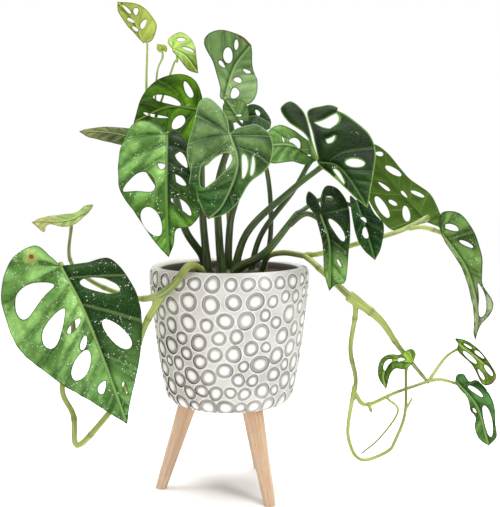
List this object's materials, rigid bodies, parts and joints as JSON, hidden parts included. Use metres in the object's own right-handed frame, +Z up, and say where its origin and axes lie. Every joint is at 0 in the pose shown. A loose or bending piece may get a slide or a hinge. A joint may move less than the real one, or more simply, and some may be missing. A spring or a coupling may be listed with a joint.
{
  "type": "potted monstera adansonii",
  "caption": "Potted climbing house plant with large leaves full of oval windows, trailing vines and a round cement pot with a pattern of rings on a tripod of tapered wooden legs.",
  "frame": {"origin": "centre of the overall box in X and Y, at the height that the feet stand on", "axes": "+Z up, +X to the right and -Y towards the viewer of the front; the part is longest along Z and shortest along Y"},
  "size_m": [0.449, 0.174, 0.4682],
  "materials": {
    "washed_cement": "matte",
    "soil": "matte",
    "beech": "satin",
    "stake_wood": "matte",
    "petiole_green": "satin",
    "runner_green": "satin",
    "leaf_mature": "satin",
    "leaf_young": "satin",
    "leaf_old": "gloss"
  },
  "bodies": {
    "root": {"pot": "washed_cement", "soil": "soil", "leg_1": "beech", "leg_2": "beech", "leg_3": "beech", "support_stake": "stake_wood", "shoot_left": "petiole_green", "shoot_mid": "petiole_green", "shoot_right": "petiole_green", "vine_left": "runner_green", "vine_right": "runner_green", "blade_front_left": "leaf_mature", "blade_back_round": "leaf_mature", "blade_beside_pot": "leaf_mature", "blade_big_right": "leaf_mature", "blade_centre": "leaf_mature", "blade_drooping": "leaf_mature", "blade_far_left": "leaf_mature", "blade_far_right": "leaf_mature", "blade_hanging": "leaf_mature", "blade_inner_curled": "leaf_mature", "blade_inner_pale": "leaf_mature", "blade_low_long": "leaf_mature", "blade_mid_right": "leaf_mature", "blade_top_tall": "leaf_mature", "blade_side_small": "leaf_young", "blade_top_young": "leaf_young", "blade_top_bud": "leaf_young", "blade_top_hood": "leaf_young", "blade_lacy": "leaf_young", "blade_low_curled": "leaf_young", "blade_wrinkled": "leaf_old"}
  },
  "joints": []
}
